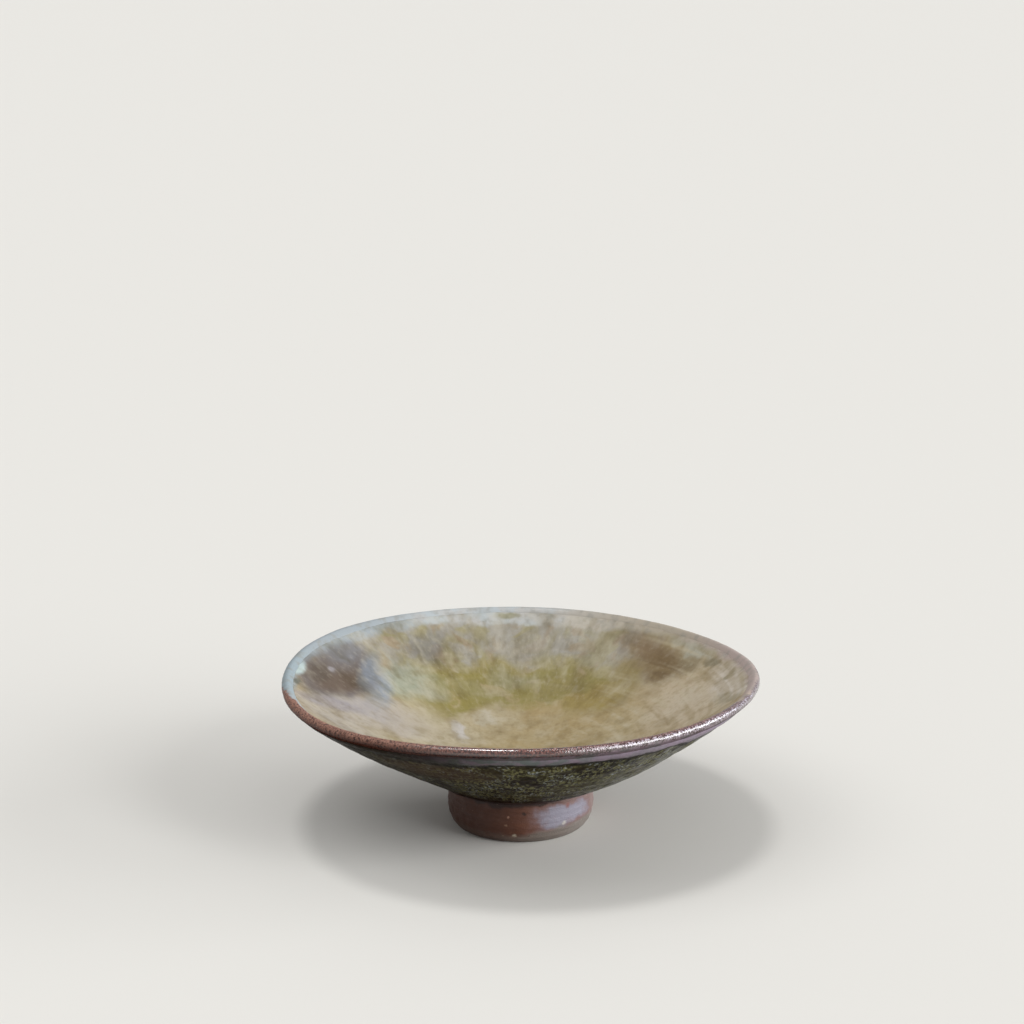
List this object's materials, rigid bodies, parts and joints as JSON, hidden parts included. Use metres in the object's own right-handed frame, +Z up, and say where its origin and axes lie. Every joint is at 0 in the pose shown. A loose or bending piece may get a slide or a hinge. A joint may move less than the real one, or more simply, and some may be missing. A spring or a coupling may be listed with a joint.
{
  "type": "tea bowl",
  "caption": "Wide, shallow, flared stoneware tea bowl on a small rounded foot ring, glazed inside and out, with an iron-brown lip and a bare clay foot.",
  "frame": {"origin": "on the table under the middle of the bowl, in the plane that the foot ring rests on", "axes": "+Z up along the bowl's axis out of its mouth; the picture looks along +Y, with +X to its right"},
  "size_m": [0.1531, 0.1515, 0.0514],
  "materials": {
    "body_clay": "unglazed fired stoneware, sandy and matte",
    "foot_clay": "unglazed reddish-brown stoneware with a faint grey flash, matte",
    "ash_glaze_inside": "satin ash glaze, mottled tan, olive, brown and grey",
    "ash_glaze_outside": "satin ash glaze, dark olive with fine pale speckles",
    "iron_glaze": "glossy grainy iron-brown glaze",
    "pale_glaze_inside": "satin pale grey-blue glaze",
    "pale_glaze_outside": "satin grey-lilac glaze"
  },
  "bodies": {
    "root": {"thrown_body": "body_clay", "foot_ring": "foot_clay", "inner_glaze": "ash_glaze_inside", "outer_glaze": "ash_glaze_outside", "iron_lip_band": "iron_glaze", "pale_band_inside": "pale_glaze_inside", "pale_band_outside": "pale_glaze_outside"}
  },
  "joints": []
}
